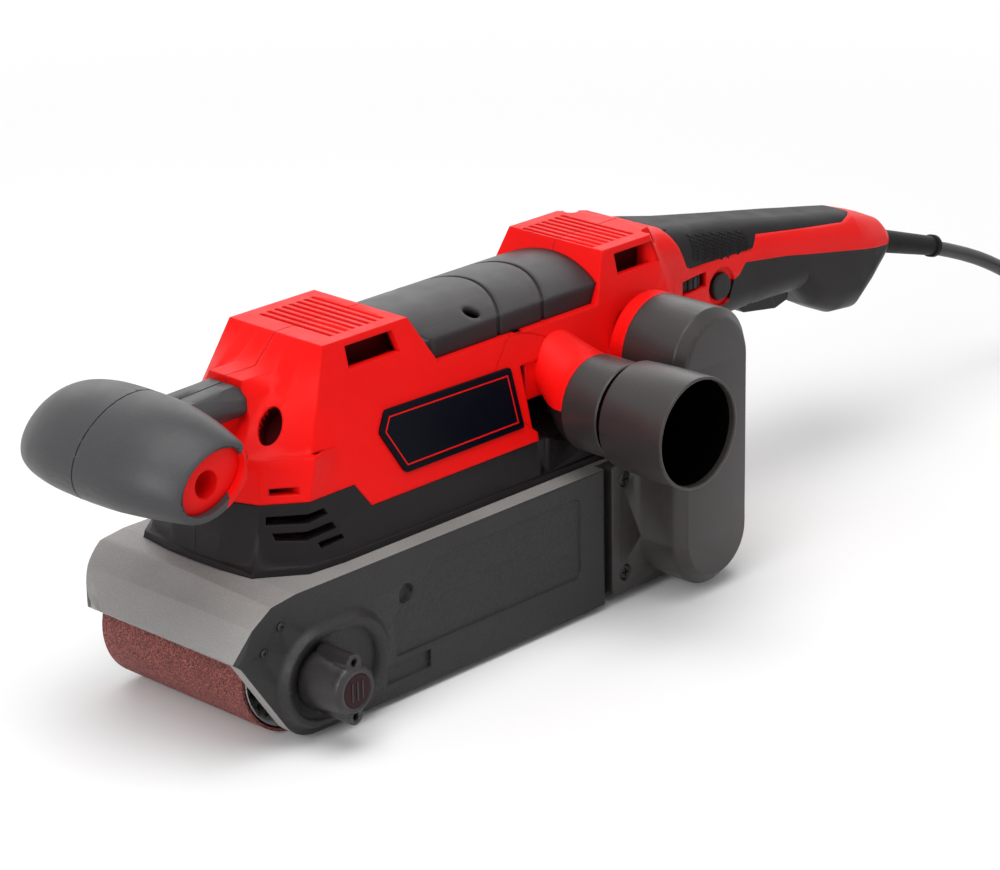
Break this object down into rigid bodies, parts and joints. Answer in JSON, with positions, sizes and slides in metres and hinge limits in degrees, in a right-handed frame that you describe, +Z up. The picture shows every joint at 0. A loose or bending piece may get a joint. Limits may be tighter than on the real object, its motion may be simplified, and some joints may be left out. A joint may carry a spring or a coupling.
{
  "type": "handheld belt sander",
  "caption": "Handheld electric belt sander with a barrel front handle, a trigger rear handle, a side dust outlet and a quick-release sanding belt.",
  "frame": {"origin": "centre of the sanding face, on the outer face of the belt under the platen", "axes": "+X towards the front handle, +Y towards the side with the dust outlet and drive cover, +Z up"},
  "size_m": [0.8106, 0.1511, 0.131],
  "materials": {
    "cast_frame": "grainy metallic grey paint",
    "steel": "plain steel",
    "bearing_steel": "polished rings",
    "screw_steel": "blackened screws",
    "graphite": "graphite-coated canvas",
    "abrasive": "brown-red bonded grain on cloth",
    "roller_core": "turned aluminium",
    "roller_rubber": "ground rubber drive roller",
    "belt_rubber": "ribbed drive belt",
    "pulley_metal": "die-cast pulleys",
    "black_plastic": "satin glass-filled nylon",
    "grey_plastic": "fine-grained charcoal nylon",
    "adapter_plastic": "charcoal nylon",
    "red_plastic": "bright satin red",
    "label_black": "black plate with a thin red line",
    "grip_rubber": "soft-touch grip",
    "rear_grip_rubber": "patterned black rubber",
    "button_plastic": "black buttons",
    "lamination": "laminated steel",
    "copper": "enamelled copper",
    "carbon": "carbon",
    "fan_plastic": "natural nylon",
    "cord_rubber": "black rubber cable"
  },
  "bodies": {
    "machine": {"sander_frame": "cast_frame", "platen": "steel", "graphite_pad": "graphite", "sanding_belt": "abrasive", "lever_pin": "steel", "drive_roller_bearings": "bearing_steel", "ribbed_belt": "belt_rubber", "drive_cover": "grey_plastic", "frame_screws": "screw_steel", "cross_shaft_bearings": "bearing_steel", "motor_bearings": "bearing_steel", "stator_core": "lamination", "field_windings": "copper", "brush_holders": "black_plastic", "carbon_brushes": "carbon", "base_left": "black_plastic", "base_right": "black_plastic", "housing_left": "red_plastic", "housing_right": "red_plastic", "dust_elbow": "red_plastic", "top_cover": "grey_plastic", "top_cover_screws": "screw_steel", "label_plate": "label_black", "front_grip_left": "grip_rubber", "front_grip_right": "grip_rubber", "rear_grip": "rear_grip_rubber", "handle_shell_left": "black_plastic", "handle_shell_right": "black_plastic", "trigger_pin": "steel", "trigger_spring": "steel", "tension_spring": "steel", "switch_module": "black_plastic", "strain_relief": "cord_rubber", "cord_run": "cord_rubber", "cord_coil": "cord_rubber", "cord_tail": "cord_rubber", "plug": "cord_rubber"},
    "front_carriage": {"tension_fork": "steel", "front_roller_axle": "steel"},
    "front_roller_body": {"front_roller": "roller_core", "front_roller_bearings": "bearing_steel"},
    "drive_roller_body": {"drive_roller": "roller_rubber", "drive_roller_shaft": "steel", "large_pulley": "pulley_metal"},
    "cross_shaft_body": {"cross_shaft": "steel", "small_pulley": "pulley_metal", "bevel_gear": "steel"},
    "armature_body": {"armature_shaft": "steel", "armature_core": "lamination", "armature_winding": "copper", "commutator": "copper", "cooling_fan": "fan_plastic", "bevel_pinion": "steel"},
    "lever_body": {"tension_lever": "steel"},
    "knob_body": {"tracking_knob": "black_plastic", "tracking_cam": "steel"},
    "trigger_body": {"trigger": "black_plastic"},
    "lock_body": {"lock_button": "button_plastic"},
    "dial_body": {"speed_dial": "button_plastic"},
    "adapter_body": {"dust_adapter": "adapter_plastic"}
  },
  "joints": [
    {"name": "carriage_slide", "type": "slide", "parent": "machine", "child": "front_carriage", "axis": [1, 0, 0], "range_m": [-0.008, 0], "deforming": ["tension_spring"]},
    {"name": "front_roller_spin", "type": "hinge", "parent": "front_carriage", "child": "front_roller_body", "pos_m": [0.09524, 0, 0.0242], "axis": [0, 1, 0], "continuous": true},
    {"name": "drive_roller_spin", "type": "hinge", "parent": "machine", "child": "drive_roller_body", "pos_m": [-0.09524, 0, 0.0242], "axis": [0, 1, 0], "continuous": true},
    {"name": "cross_shaft_spin", "type": "hinge", "parent": "machine", "child": "cross_shaft_body", "pos_m": [-0.09524, 0, 0.0929], "axis": [0, 1, 0], "continuous": true},
    {"name": "armature_spin", "type": "hinge", "parent": "machine", "child": "armature_body", "pos_m": [0, 0, 0.0929], "axis": [1, 0, 0], "continuous": true},
    {"name": "tension_lever_hinge", "type": "hinge", "parent": "machine", "child": "lever_body", "pos_m": [0.024, -0.048, 0.0242], "axis": [0, 0, 1], "range_deg": [0, 100]},
    {"name": "tracking_knob_turn", "type": "hinge", "parent": "machine", "child": "knob_body", "pos_m": [0.09524, 0.05, 0.0242], "axis": [0, 1, 0], "range_deg": [-90, 90]},
    {"name": "trigger_pull", "type": "hinge", "parent": "machine", "child": "trigger_body", "pos_m": [-0.1815, 0, 0.086], "axis": [0, 1, 0], "range_deg": [0, 7], "stiffness_Nm_per_rad": 0.6, "springref_deg": -5.73, "deforming": ["trigger_spring"]},
    {"name": "lock_button_press", "type": "slide", "parent": "machine", "child": "lock_body", "axis": [0, -1, 0], "range_m": [0, 0.003], "stiffness_N_per_m": 300, "springref_m": -0.002},
    {"name": "speed_dial_turn", "type": "hinge", "parent": "machine", "child": "dial_body", "pos_m": [-0.1405, 0.0064, 0.102], "axis": [0, 0, 1], "range_deg": [0, 270]},
    {"name": "dust_adapter_pull", "type": "slide", "parent": "machine", "child": "adapter_body", "axis": [0, 1, 0], "range_m": [0, 0.04]}
  ],
  "couplings": [
    {"joint": "front_roller_spin", "follows": "drive_roller_spin", "ratio": 1},
    {"joint": "cross_shaft_spin", "follows": "drive_roller_spin", "ratio": 2},
    {"joint": "armature_spin", "follows": "drive_roller_spin", "ratio": 8},
    {"joint": "carriage_slide", "follows": "tension_lever_hinge", "m_per_rad": -0.0045837}
  ]
}
